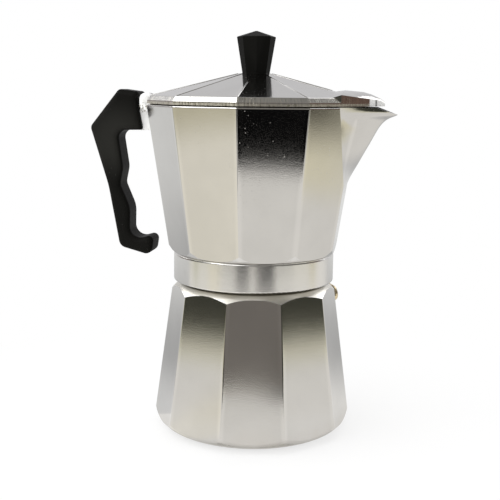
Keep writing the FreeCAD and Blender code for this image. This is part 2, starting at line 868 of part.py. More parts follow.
def make_column():
    """Tube that carries the coffee up, with two outlets below its closed top."""
    low = "neck_top + funnel_sheet + gasket_thickness + floor_recess"
    inner_top = "column_top - 2.5"
    column = turned_body("Column", [
        ("column_bore", low),
        ("column_spigot_radius - column_fit", low),
        ("column_spigot_radius - column_fit", "floor_high"),
        ("column_foot_radius", "floor_high"),
        ("column_foot_radius", "floor_high + 1.5"),
        ("column_foot_radius - 1", "floor_high + 3"),
        ("column_top_radius", "column_top - 4"),
        ("column_top_radius + 0.8", "column_top - 3"),
        ("column_top_radius - 1", "column_top"),
        (0, "column_top"),
        (0, inner_top),
        ("column_bore - 0.6", inner_top),
    ])
    outlet_top = "column_top - 4.5"
    outlets = box("Outlets", ("-20", "-outlet_width / 2", outlet_top + " - outlet_height"),
                  ("20", "outlet_width / 2", outlet_top))
    keep(cut("CoffeeColumn", column, outlets), "coffee_column")


# Hood over the spout: distance out, half width, height of its side, height of its crown
VISOR_STEPS = (
    (40.5, 28.5, 170.9, 174.0),
    (45.2, 26.2, 172.4, 174.6),
    (54.0, 14.7, 171.1, 173.9),
    (58.0, 9.4, 170.6, 172.8),
    (62.9, 3.2, 169.8, 170.6),
    (64.9, 1.8, 168.5, 168.9),
)


def visor_section(step, inset, drop):
    """Return one upright section across the hood as a closed wire, inset by a sheet thickness."""
    reach, half_width, side, crown = step
    out = reach * number("visor_nose") / VISOR_STEPS[-1][0]
    wide = half_width - inset
    low = number("lid_low") - drop
    point = FreeCAD.Vector
    foot_left = point(out, wide, low)
    foot_right = point(out, -wide, low)
    side_left = point(out, wide, side - inset)
    side_right = point(out, -wide, side - inset)
    return Part.Wire([
        Part.LineSegment(foot_right, side_right).toShape(),
        Part.Arc(side_right, point(out, 0, crown - inset), side_left).toShape(),
        Part.LineSegment(side_left, foot_left).toShape(),
        Part.LineSegment(foot_left, foot_right).toShape(),
    ])


def make_lid():
    """Ten-sided pyramid lid with an upright band, a hood over the spout and a hinge tongue."""
    eave = "lid_corner_radius - lid_shrink"
    pyramid = polygon_loft("LidPyramid", [
        ("lid_corner_radius", "lid_low"),
        ("lid_corner_radius", "lid_band_top"),
        (eave, "lid_eave"),
        ("lid_seat_radius", "lid_top"),
    ])
    lowest = number("lid_low") + 0.1
    highest = number("lid_top") - 0.1
    pyramid = round_edges(
        "LidEdges", pyramid, "lid_edge_rounding",
        lambda e: lowest < e.BoundBox.ZMin and e.CenterOfMass.z < highest,
    )
    visor = solid("Visor", Part.makeLoft([visor_section(step, 0.0, 0.0) for step in VISOR_STEPS], True, True))
    tongue_low = "hinge_height - 1.6"
    tongue = box("Tongue", ("-hinge_reach", "-tongue_half_width", tongue_low),
                 ("-48", "tongue_half_width", "hinge_height + 2.2"))
    knuckle = cylinder("Knuckle", "ear_radius - 0.1", "2 * tongue_half_width",
                       along_y("-hinge_reach", "hinge_height", "-tongue_half_width"))
    blank = fused("LidBlank", pyramid, visor, tongue, knuckle)
    hollow = polygon_loft("LidHollow", [
        ("lid_corner_radius - lid_sheet", "lid_low - %s" % OVERCUT),
        ("lid_corner_radius - lid_sheet", "lid_band_top"),
        (eave + " - lid_sheet", "lid_eave - lid_sheet"),
        ("lid_seat_radius", "lid_top - lid_sheet - 0.2"),
    ])
    sheet = number("lid_sheet")
    inner_nose = (61.0, 5.4, 170.0, 171.4)
    inner_steps = [*VISOR_STEPS[:-2], inner_nose]
    visor_hollow = solid(
        "VisorHollow", Part.makeLoft([visor_section(step, sheet, OVERCUT) for step in inner_steps], True, True)
    )
    pin_hole = cylinder("KnuckleHole", "hinge_pin_radius + hinge_clearance", 30,
                        along_y("-hinge_reach", "hinge_height", "-15"))
    screw_hole = cylinder("LidScrewHole", "screw_radius + 0.1", 40)
    screw_hole.Placement.Base.z = number("lid_top - 20")
    keep(cut("Lid", blank, hollow, visor_hollow, pin_hole, screw_hole), "lid")


def make_knob():
    """Moulded eight-sided knob on a brass insert, held by a screw and washer under the lid."""
    foot = "lid_top + 0.05"
    blank = polygon_loft("KnobBlank", [
        ("knob_foot_radius", foot),
        ("knob_top_radius", "knob_edge"),
        ("0.6", "knob_apex"),
    ], sides="knob_sides", turn="knob_turn")
    blank = round_edges("KnobEdges", blank, "0.45", lambda e: e.CenterOfMass.z > number("lid_top") + 1)
    pocket = cylinder("InsertPocket", "insert_radius", "insert_length + %s" % OVERCUT)
    pocket.Placement.Base.z = number("%s - %s" % (foot, OVERCUT))
    keep(cut("Knob", blank, pocket), "knob")

    insert = turned_body("KnobInsert", [
        ("screw_radius", foot),
        ("insert_radius", foot),
        ("insert_radius", foot + " + insert_length - 1"),
        ("insert_radius - 0.6", foot + " + insert_length"),
        ("screw_radius", foot + " + insert_length"),
    ])
    keep(insert, "knob_insert")

    washer_top = "lid_top - lid_sheet - 0.2"
    washer = turned_body("KnobWasher", [
        ("screw_radius + 0.1", washer_top + " - washer_thickness"),
        ("washer_radius", washer_top + " - washer_thickness"),
        ("washer_radius", washer_top),
        ("screw_radius + 0.1", washer_top),
    ])
    keep(washer, "knob_washer")

    head_top = washer_top + " - washer_thickness"
    screw = turned_body("KnobScrew", [
        (0, head_top + " - screw_head_thickness"),
        ("screw_head_radius - 0.8", head_top + " - screw_head_thickness"),
        ("screw_head_radius", head_top + " - screw_head_thickness + 0.8"),
        ("screw_head_radius", head_top),
        ("screw_radius - 0.02", head_top),
        ("screw_radius - 0.02", head_top + " + knob_screw_length"),
        (0, head_top + " + knob_screw_length"),
    ])
    slot = box("KnobScrewSlot", ("-screw_head_radius - 1", "-0.5", head_top + " - screw_head_thickness - 1"),
               ("screw_head_radius + 1", "0.5", head_top + " - screw_head_thickness + 1"))
    keep(cut("KnobScrewCut", screw, slot), "knob_screw")


def make_hinge_pin():
    """Pin through both ears and the lid's knuckle."""
    pin = cylinder("HingePin", "hinge_pin_radius - 0.005", "2 * ear_outer + 0.8",
                   along_y("-hinge_reach", "hinge_height", "-ear_outer - 0.4"))
    keep(pin, "hinge_pin")


# Handle outline in the XZ plane: corner (across, up) and the radius that rounds it
HANDLE_OUTLINE = (
    ("-handle_front", "handle_top - 1.3", 1.5),
    ("-handle_front - 10.6", "handle_top", 2.6),
    ("-handle_back", "handle_top - 19.3", 3.2),
    ("-handle_front - 16.7", "handle_foot + 35.8", 60.0),
    ("-handle_front - 10.8", "handle_foot + 4.0", 4.5),
    ("-handle_front + 6.0", "handle_foot - 0.4", 3.6),
    ("-handle_front + 7.6", "handle_foot + 10.9", 2.6),
    ("-handle_front - 5.6", "handle_foot + 7.0", 5.5),
    ("-handle_front - 5.2", "handle_foot + 24.4", 14.0),
    ("-handle_front - 10.4", "handle_foot + 36.6", 5.0),
    ("-handle_front - 8.7", "handle_foot + 45.0", 10.0),
    ("-handle_front - 11.6", "handle_top - 20.9", 4.2),
    ("-handle_front + 1.7", "handle_top - 20.6", 1.2),
    ("-handle_front - 0.9", "handle_top - 6.6", 8.0),
)


def make_handle():
    """Moulded handle with finger scallops, slotted over the bracket's tenon and screwed to it."""
    body = new_body("HandleMoulding")
    sketch = outline_sketch(body, "HandleOutline", [(across, up) for across, up, _ in HANDLE_OUTLINE])
    pad = body.newObject("PartDesign::Pad", "HandlePad")
    pad.Profile = sketch
    pad.Midplane = True
    set_sizes(pad, Length="handle_thickness")
    doc.recompute()
    for index, (across, up, radius) in enumerate(HANDLE_OUTLINE):
        corner = (number(across), number(up))

        def at_corner(edge, corner=corner):
            middle = edge.CenterOfMass
            upright = isinstance(edge.Curve, Part.Line) and abs(edge.Curve.Direction.y) > 0.99
            return upright and math.dist((middle.x, middle.z), corner) < 0.05
        round_body_edges(body, "HandleCorner%d" % index, radius, at_corner)
    face_at = number("handle_thickness / 2")

    def on_side_face(edge):
        box_of_edge = edge.BoundBox
        flat = box_of_edge.YLength < 0.001
        return flat and abs(abs(edge.CenterOfMass.y) - face_at) < 0.01
    round_body_edges(body, "HandleEdges", "handle_edge_rounding", on_side_face)

    gap = "handle_gap"
    slot = box(
        "TenonSlot",
        ("-tenon_end - %s" % gap, "-tenon_half_width - %s" % gap, "tenon_low - %s" % gap),
        ("-handle_front + 6", "tenon_half_width + %s" % gap, "tenon_high + %s" % gap),
    )
    notch = box(
        "WebNotch",
        ("-handle_front", "-web_half_width - %s" % gap, "web_low - %s" % gap),
        ("-handle_front + 6", "web_half_width + %s" % gap, "hinge_height"),
    )
    hole = cylinder("HandleScrewHole", "screw_radius + 0.2", 40, along_x("-90", "handle_screw_height"))
    counterbore_length = number("90 - handle_screw_seat")
    counterbore = cylinder("HandleCounterbore", "handle_counterbore", counterbore_length,
                           along_x("-90", "handle_screw_height"))
    keep(cut("Handle", body, slot, notch, hole, counterbore), "handle")

    washer = cut(
        "HandleWasher",
        cylinder("HandleWasherDisc", "handle_counterbore - 0.2", "washer_thickness"),
        cylinder("HandleWasherHole", "screw_radius + 0.1", "washer_thickness"),
    )
    washer.Placement = along_x("-handle_screw_seat - washer_thickness", "handle_screw_height")
    keep(washer, "handle_washer")

    head = "screw_head_thickness"
    shank_end = head + " + washer_thickness + handle_screw_seat - handle_screw_tip"
    screw = turned_body("HandleScrew", [
        (0, 0),
        ("screw_head_radius - 0.8", 0),
        ("screw_head_radius", 0.8),
        ("screw_head_radius", head),
        ("screw_radius - 0.02", head),
        ("screw_radius - 0.02", shank_end),
        (0, shank_end),
    ])
    slot = box("HandleScrewSlot", ("-screw_head_radius - 1", "-0.5", "-1"), ("screw_head_radius + 1", "0.5", "1"))
    cut_screw = cut("HandleScrewCut", screw, slot)
    cut_screw.Placement = along_x("-handle_screw_seat - washer_thickness - screw_head_thickness",
                                  "handle_screw_height")
    keep(cut_screw, "handle_screw")


def check_and_write():
    """Stop on any failed object, then write each sub-part to its own file."""
    doc.recompute()
    for feature in doc.Objects:
        if "Invalid" in feature.State or "Error" in feature.State:
            raise RuntimeError("failed object: " + feature.Label)
    for feature in subparts:
        shape = feature.Shape
        if shape.isNull() or not shape.isValid():
            raise RuntimeError("bad shape: " + feature.Label)
        if len(shape.Solids) != 1:
            raise RuntimeError("%s has %d solids" % (feature.Label, len(shape.Solids)))
    os.makedirs("parts", exist_ok=True)
    for feature in subparts:
        feature.Shape.exportStep("parts/%s.step" % feature.Label)
        print(feature.Label, round(feature.Shape.Volume, 1))


make_boiler()
make_valve()
make_funnel()
make_seal()
make_upper_chamber()
make_column()
make_lid()
make_knob()
make_hinge_pin()
make_handle()
check_and_write()
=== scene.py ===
import json
import logging
import math
from dataclasses import dataclass
from enum import Enum
from typing import Any

import bpy
from mathutils import Matrix, Vector


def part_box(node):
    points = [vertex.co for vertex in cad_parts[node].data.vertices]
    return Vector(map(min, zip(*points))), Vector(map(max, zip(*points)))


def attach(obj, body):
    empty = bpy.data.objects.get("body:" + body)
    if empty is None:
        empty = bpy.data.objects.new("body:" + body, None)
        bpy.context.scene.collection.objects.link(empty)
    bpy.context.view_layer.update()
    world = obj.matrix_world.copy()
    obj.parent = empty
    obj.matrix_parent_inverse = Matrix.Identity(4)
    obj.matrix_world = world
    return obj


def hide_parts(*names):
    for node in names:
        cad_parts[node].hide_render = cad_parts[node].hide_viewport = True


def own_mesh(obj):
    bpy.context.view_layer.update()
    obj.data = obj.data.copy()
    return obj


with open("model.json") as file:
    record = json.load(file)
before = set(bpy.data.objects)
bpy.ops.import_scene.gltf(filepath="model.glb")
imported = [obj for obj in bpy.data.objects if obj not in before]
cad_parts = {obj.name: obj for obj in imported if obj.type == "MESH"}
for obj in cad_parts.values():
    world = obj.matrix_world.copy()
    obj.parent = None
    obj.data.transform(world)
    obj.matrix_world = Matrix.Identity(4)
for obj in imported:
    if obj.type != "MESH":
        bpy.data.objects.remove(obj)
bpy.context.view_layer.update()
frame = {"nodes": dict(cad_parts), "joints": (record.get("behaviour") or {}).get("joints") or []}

log = logging.getLogger("moka_pot")

MM = 0.001
SMOOTH_ANGLE = math.radians(40)
Colour = tuple[float, float, float]


class Slot(Enum):
    """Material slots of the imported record."""

    CAST = "cast_aluminium"
    SPUN = "spun_aluminium"
    BLACK = "black_moulding"
    BRASS = "brass"
    STEEL = "steel"
    RUBBER = "seal_rubber"
    FIBRE = "fibre"


class Value:
    """A shader socket that takes part in Python arithmetic."""

    def __init__(self, graph: "Graph", socket: bpy.types.NodeSocket) -> None:
        """Wrap a socket of a graph.

        Args:
            graph: The graph that new nodes go into.
            socket: The output socket to wrap.
        """
        self.graph = graph
        self.socket = socket

    def math(self, operation: str, *others: Any) -> "Value":
        """Put this value and others through a Math node.

        Args:
            operation: The Math node's operation.
            others: Values or numbers for the further inputs.

        Returns:
            The node's result.
        """
        inputs = dict(enumerate((self, *others)))
        return self.graph.node("ShaderNodeMath", {"operation": operation}, inputs)

    def reflected(self, operation: str, other: Any) -> "Value":
        """Put a number and this value, in that order, through a Math node.

        Args:
            operation: The Math node's operation.
            other: The number that comes first.

        Returns:
            The node's result.
        """
        return self.graph.node("ShaderNodeMath", {"operation": operation}, {0: other, 1: self})

    def __add__(self, other: Any) -> "Value":
        """Add."""
        return self.math("ADD", other)

    def __radd__(self, other: Any) -> "Value":
        """Add to a number."""
        return self.reflected("ADD", other)

    def __sub__(self, other: Any) -> "Value":
        """Subtract."""
        return self.math("SUBTRACT", other)

    def __rsub__(self, other: Any) -> "Value":
        """Subtract from a number."""
        return self.reflected("SUBTRACT", other)

    def __mul__(self, other: Any) -> "Value":
        """Multiply."""
        return self.math("MULTIPLY", other)

    def __rmul__(self, other: Any) -> "Value":
        """Multiply a number."""
        return self.reflected("MULTIPLY", other)

    def __truediv__(self, other: Any) -> "Value":
        """Divide."""
        return self.math("DIVIDE", other)

    def step(self, low: float, high: float) -> "Value":
        """Rise smoothly from 0 at low to 1 at high.

        Args:
            low: Where the rise starts.
            high: Where it ends; lower than low for a fall.

        Returns:
            The share of the way.
        """
        settings = {"interpolation_type": "SMOOTHSTEP"}
        return self.graph.node("ShaderNodeMapRange", settings, {0: self, 1: low, 2: high, 3: 0.0, 4: 1.0})


class Graph:
    """A node tree that is written as expressions."""

    def __init__(self, tree: bpy.types.NodeTree) -> None:
        """Start from an empty tree.

        Args:
            tree: The tree to fill.
        """
        self.tree = tree
        tree.nodes.clear()

    def node(
        self, kind: str, settings: dict[str, Any] | None = None, inputs: dict[Any, Any] | None = None,
        output: int | str = 0,
    ) -> Value | None:
        """Add a node.

        Args:
            kind: The node's type.
            settings: Its properties, which are set first.
            inputs: Values, links or numbers by socket name or number.
            output: The output to hand back.

        Returns:
            That output, or nothing where the node has none.
        """
        made = self.tree.nodes.new(kind)
        for name, setting in (settings or {}).items():
            setattr(made, name, setting)
        for key, given in (inputs or {}).items():
            socket = made.inputs[key]
            if isinstance(given, Value):
                self.tree.links.new(given.socket, socket)
            else:
                socket.default_value = given
        return Value(self, made.outputs[output]) if len(made.outputs) else None

    def place(self) -> Value:
        """Return the point on the piece, in metres."""
        return self.node("ShaderNodeTexCoord", output="Object")

    def axes(self, vector: Value) -> tuple[Value, Value, Value]:
        """Split a vector.

        Args:
            vector: The vector.

        Returns:
            Its three parts.
        """
        parts = self.node("ShaderNodeSeparateXYZ", inputs={0: vector})
        outputs = parts.socket.node.outputs
        return tuple(Value(self, outputs[i]) for i in range(3))

    def vector(self, x: Any, y: Any, z: Any) -> Value:
        """Join three parts into a vector.

        Args:
            x: The first part.
            y: The second part.
            z: The third part.

        Returns:
            The vector.
        """
        return self.node("ShaderNodeCombineXYZ", inputs={0: x, 1: y, 2: z})

    def noise(self, scale: float, detail: float = 2.0, vector: Value | None = None) -> Value:
        """Return noise from 0 to 1.

        Args:
            scale: Cycles in each metre.
            detail: Finer layers.
            vector: Where it is read, or the point on the piece.

        Returns:
            The noise.
        """
        where = vector or self.place()
        return self.node("ShaderNodeTexNoise", inputs={"Vector": where, "Scale": scale, "Detail": detail})

    def specks(self, scale: float, size: float, share: float) -> Value:
        """Return sparse round specks.

        Args:
            scale: Cells in each metre.
            size: A speck's reach as a share of a cell.
            share: The share of cells that hold one.

        Returns:
            1 in a speck and 0 elsewhere.
        """
        inputs = {"Vector": self.place(), "Scale": scale}
        cells = self.node("ShaderNodeTexVoronoi", inputs=inputs)
        outputs = cells.socket.node.outputs
        chosen, _, _ = self.axes(Value(self, outputs["Color"]))
        near = cells.step(size, 0.4 * size)
        return near * chosen.step(share, 0.8 * share)

    def mix(self, share: Value, first: Any, second: Any) -> Value:
        """Mix two colours.

        Args:
            share: 0 for the first and 1 for the second.
            first: A colour or a value.
            second: A colour or a value.

        Returns:
            The mixed colour.
        """
        def full(colour: Any) -> Any:
            """Give a plain colour its alpha."""
            return colour if isinstance(colour, Value) else (*colour, 1.0)

        settings = {"data_type": "RGBA"}
        inputs = {0: share, 6: full(first), 7: full(second)}
        return self.node("ShaderNodeMix", settings, inputs, output=2)

    def bump(self, height: Value, strength: float, distance: float, under: Value | None = None) -> Value:
        """Turn a height into a normal.

        Args:
            height: The height from 0 to 1.
            strength: How strongly it shows.
            distance: The height of 1, in metres.
            under: A normal that this one lies on.

        Returns:
            The normal.
        """
        inputs = {"Height": height, "Strength": strength, "Distance": distance}
        if under is not None:
            inputs["Normal"] = under
        return self.node("ShaderNodeBump", inputs=inputs)

    def prism(self, turn: float, count: int) -> tuple[Value, Value]:
        """Measure a point against a regular upright prism.

        Args:
            turn: The first corner's angle, in degrees.
            count: The number of corners.

        Returns:
            The distance along the wall from the nearest corner, and the distance out from the
            axis square to the wall, both in metres.
        """
        x, y, _ = self.axes(self.place())
        pitch = 2 * math.pi / count
        share = (y.math("ARCTAN2", x) - math.radians(turn)) / pitch
        offset = (share - share.math("ROUND")).math("ABSOLUTE") * pitch
        reach = (x * x + y * y).math("SQRT")
        return offset * reach, reach * (pitch / 2 - offset).math("COSINE")


@dataclass(frozen=True)
class Finish:
    """A surface with its colour and gloss."""

    name: str
    colour: Colour
    roughness: float
    metallic: float = 1.0

    def material(self) -> bpy.types.Material:
        """Return the finish as a node material."""
        made = bpy.data.materials.new(self.name)
        made.use_nodes = True
        graph = Graph(made.node_tree)
        inputs = {"Metallic": self.metallic, **self.surface(graph)}
        shader = graph.node("ShaderNodeBsdfPrincipled", inputs=inputs)
        graph.node("ShaderNodeOutputMaterial", inputs={"Surface": shader})
        return made

    def surface(self, graph: Graph) -> dict[str, Any]:
        """Return what varies over the surface, by shader socket.

        Args:
            graph: The material's graph.

        Returns:
            Values and links for the shader.
        """
        cloud = graph.noise(90.0, 4.0)
        grain = graph.noise(2200.0, 2.0)
        darker = tuple(0.82 * part for part in self.colour)
        return {
            "Base Color": graph.mix(cloud.step(0.3, 0.7), darker, self.colour),
            "Roughness": self.roughness * (0.8 + 0.4 * cloud),
            "Normal": graph.bump(grain, 0.08, 0.0001),
        }


@dataclass
class Surface:
    """What varies over a surface, while it is being built up."""

    colour: Value
    roughness: Value
    normal: Value
    metallic: Any = 1.0

    def stain(self, graph: Graph, share: Value, colour: Colour, roughness: float) -> None:
        """Lay a stain over the surface.

        Args:
            graph: The material's graph.
            share: Where the stain is, from 0 to 1.
            colour: The stain's colour.
            roughness: What a full stain adds to the roughness.
        """
        self.colour = graph.mix(share, self.colour, colour)
        self.roughness = self.roughness + share * roughness

    def sockets(self) -> dict[str, Any]:
        """Return the surface by shader socket."""
        return {
            "Base Color": self.colour,
            "Roughness": self.roughness,
            "Normal": self.normal,
            "Metallic": self.metallic,
        }


@dataclass(frozen=True)
class CastMetal(Finish):
    """Polished cast aluminium: fine grain, faint clouds, pits and a painted highlight along the corners.

    The wall is a regular prism that narrows or widens evenly with height; what lies deeper
    than the sheet counts as the inside.
    """

    corner_turn: float = 18.0
    corner_count: int = 10
    wall_reach: float = 52.2 * MM
    wall_height: float = 166.5 * MM
    wall_slope: float = 0.148
    wall_depth: float = 1.6 * MM
    wall_edge: float = 0.8 * MM
    inside_colour: Colour = (0.42, 0.40, 0.37)
    cloud_scale: float = 38.0
    fine_grain: float = 3200.0
    coarse_grain: float = 1800.0
    pit_scale: float = 820.0
    pit_colour: Colour = (0.42, 0.41, 0.39)
    pitted_from: float = 100.0 * MM
    pitted_fade: float = 30.0 * MM
    corner_highlights_from: float = -1.0 * MM

    def surface(self, graph: Graph) -> dict[str, Any]:
        """Return what varies over the casting, by shader socket."""
        return self.polished(graph).sockets()

    def polished(self, graph: Graph) -> Surface:
        """Return the polished wall with its grain and pits.

        Args:
            graph: The material's graph.

        Returns:
            The surface so far.
        """
        cloud = graph.noise(self.cloud_scale, 5.0)
        grain = 0.24 * graph.noise(self.fine_grain, 2.0) + 0.34 * graph.noise(self.coarse_grain, 1.0)
        _, _, z = graph.axes(graph.place())
        pits = graph.specks(self.pit_scale, 0.20, 0.20) * graph.noise(60.0, 3.0).step(0.38, 0.62)
        pits = pits * z.step(self.pitted_from, self.pitted_from + self.pitted_fade)
        # Painted highlight: the colour is lighter along the prism's corners.
        along, _ = graph.prism(self.corner_turn, self.corner_count)
        corner = along.step(2.4 * MM, 0.5 * MM) * z.step(self.corner_highlights_from, self.corner_highlights_from + 0.5 * MM)
        corner = corner * self.depth(graph).step(-1.4 * MM, -0.6 * MM)
        dull = tuple(0.93 * part for part in self.colour)
        corner_highlight_colour = tuple(min(1.0, 1.10 * part) for part in self.colour)
        colour = graph.mix(cloud.step(0.3, 0.72), dull, self.colour)
        colour = graph.mix(corner * 0.6, colour, corner_highlight_colour)
        colour = graph.mix(pits * 0.25, colour, self.pit_colour)
        roughness = self.roughness * (0.85 + 0.3 * cloud) - 0.02 * corner + 0.35 * pits
        return Surface(colour, roughness, graph.bump(grain - pits * 1.2, 0.20, 0.00012))

    def depth(self, graph: Graph) -> Value:
        """Return how deep a point lies under the outside of the wall, in metres.

        Args:
            graph: The material's graph.

        Returns:
            The depth, below 0 for what stands out from the wall.
        """
        _, _, z = graph.axes(graph.place())
        _, out = graph.prism(self.corner_turn, self.corner_count)
        return (z - self.wall_height) * self.wall_slope + self.wall_reach - out

    def inside(self, graph: Graph) -> Value:
        """Return where the inside is.

        Args:
            graph: The material's graph.

        Returns:
            0 on the outside of the wall and 1 past its thickness.
        """
        return self.depth(graph).step(self.wall_depth, self.wall_depth + self.wall_edge)

    def tarnish_inside(self, graph: Graph, surface: Surface, inside: Value) -> None:
        """Dull the inside and mark it with use.

        Args:
            graph: The material's graph.
            surface: The surface to change.
            inside: Where the inside is, from 0 to 1.
        """
        drift = graph.noise(55.0, 5.0)
        surface.stain(graph, inside * (0.55 + 0.4 * drift), self.inside_colour, 0.24)
        runs = graph.noise(1.0, 3.0, self.runs(graph)).step(0.52, 0.70)
        surface.stain(graph, inside * runs * 0.5, tuple(0.6 * part for part in self.inside_colour), 0.08)

    @staticmethod
    def runs(graph: Graph) -> Value:
        """Return places stretched upwards, for marks that have run down.

        Args:
            graph: The material's graph.

        Returns:
            The places to read noise at.
        """
        x, y, z = graph.axes(graph.place())
        return graph.vector(x * 220.0, y * 220.0, z * 26.0)


@dataclass(frozen=True)
class BoilerCasting(CastMetal):
    """The boiler's casting: heat stain and soot at its foot, a turned shoulder whose lighter colour is
    partly a painted highlight, painted shade in the gap under the ring, chalk inside.
    """

    stain_top: float = 16.0 * MM
    heat_colour: Colour = (0.44, 0.38, 0.30)
    soot_top: float = 1.6 * MM
    soot_colour: Colour = (0.16, 0.14, 0.12)
    floor_top: float = 2.4 * MM
    # The turned shoulder's lighter colour is partly a painted highlight along the facets' arches.
    shoulder: float = 71.4 * MM
    turned_colour: Colour = (0.79, 0.77, 0.71)
    # Painted shade: the colour of the dark band in the gap under the jug's ring.
    neck_foot: float = 76.6 * MM
    gap_shade_colour: Colour = (0.16, 0.14, 0.09)

    def surface(self, graph: Graph) -> dict[str, Any]:
        """Return what varies over the boiler, by shader socket."""
        made = self.polished(graph)
        _, _, z = graph.axes(graph.place())
        drift = graph.noise(60.0, 4.0)
        heat = z.step(self.stain_top, 0.1 * self.stain_top) * drift.step(0.30, 0.75)
        made.stain(graph, heat * 0.25, self.heat_colour, 0.08)
        soot = z.step(self.soot_top, 0.2 * MM)
        made.stain(graph, soot * (0.4 + 0.5 * drift), self.soot_colour, 0.25)
        inside = self.inside(graph) * z.step(self.floor_top, self.floor_top + self.wall_edge)
        # The turned shoulder reaches down to the facets' arches, so its lighter colour is partly a
        # painted highlight along them.
        turned = z.step(self.shoulder, self.shoulder + 0.6 * MM)
        turned = turned * self.depth(graph).step(0.05 * MM, 0.3 * MM)
        self.tarnish_inside(graph, made, inside * (1.0 - turned))
        made.stain(graph, turned, self.turned_colour, 0.24)
        # Painted shade: a dark band at the neck's foot, in the gap under the jug's ring.
        gap_shade = z.step(self.neck_foot - 0.5 * MM, self.neck_foot)
        gap_shade = gap_shade * z.step(self.neck_foot + 2.2 * MM, self.neck_foot + 1.4 * MM)
        made.stain(graph, turned * gap_shade * (0.6 + 0.3 * drift), self.gap_shade_colour, 0.1)
        return made.sockets()


@dataclass(frozen=True)
class JugCasting(CastMetal):
    """The jug's casting, with a brushed ring, a bracket left as cast whose near-white colour is partly
    painted light, and a coffee film inside.
    """

    wall_depth: float = 1.4 * MM
    ring_high: float = 92.4 * MM
    ring_fade: float = 4.0 * MM
    turned_colour: Colour = (0.81, 0.80, 0.78)
    smudge_colour: Colour = (0.42, 0.41, 0.39)
    bracket_start: float = 52.6 * MM
    bracket_cast_and_lit_colour: Colour = (0.97, 0.97, 0.96)
    ragged_low: float = 161.6 * MM
    ragged_high: float = 167.0 * MM
    ragged_colour: Colour = (0.24, 0.22, 0.14)
    spout_start: float = 36.0 * MM
    spout_full: float = 44.0 * MM

    def surface(self, graph: Graph) -> dict[str, Any]:
        """Return what varies over the jug, by shader socket."""
        made = self.polished(graph)
        x, _, z = graph.axes(graph.place())
        ring = z.step(self.ring_high + 0.2 * MM, self.ring_high - 0.3 * MM)
        self.brush(graph, made, ring)
        bracket = x.step(-self.bracket_start, -self.bracket_start - 1.0 * MM)
        sand = graph.noise(900.0, 3.0)
        # The bracket's near-white, mostly non-metal colour is partly painted light, standing in for the
        # light that blows it out.
        made.stain(graph, bracket, self.bracket_cast_and_lit_colour, 0.45)
        ragged = z.step(self.ragged_low, self.ragged_low + 1.4 * MM) * sand.step(0.46, 0.60)
        ragged = ragged * z.step(self.ragged_high, self.ragged_high - 1.2 * MM)
        made.stain(graph, bracket * ragged * 0.8, self.ragged_colour, 0.0)
        made.metallic = 1.0 - 0.9 * bracket
        made.normal = graph.bump(sand * bracket, 0.30, 0.0002, made.normal)
        inside = self.inside(graph) * z.step(self.ring_high, self.ring_high + self.ring_fade)
        self.tarnish_inside(graph, made, inside * x.step(self.spout_full, self.spout_start))
        return made.sockets()

    def brush(self, graph: Graph, made: Surface, ring: Value) -> None:
        """Brush the turned ring round and round.

        Args:
            graph: The material's graph.
            made: The surface to change.
            ring: Where the ring is, from 0 to 1.
        """
        x, y, z = graph.axes(graph.place())
        around = y.math("ARCTAN2", x)
        lines = graph.noise(1.0, 2.0, graph.vector(around * 2.0, 0.0, z * 14000.0))
        smudge = graph.noise(1.0, 3.0, graph.vector(around * 9.0, 0.0, z * 120.0)).step(0.55, 0.80)
        made.colour = graph.mix(ring * 0.8, made.colour, self.turned_colour)
        made.stain(graph, ring * smudge * 0.15, self.smudge_colour, 0.2)
        made.roughness = made.roughness + ring * (0.06 + 0.05 * lines)
        made.normal = graph.bump(lines * ring, 0.14, 0.00006, made.normal)


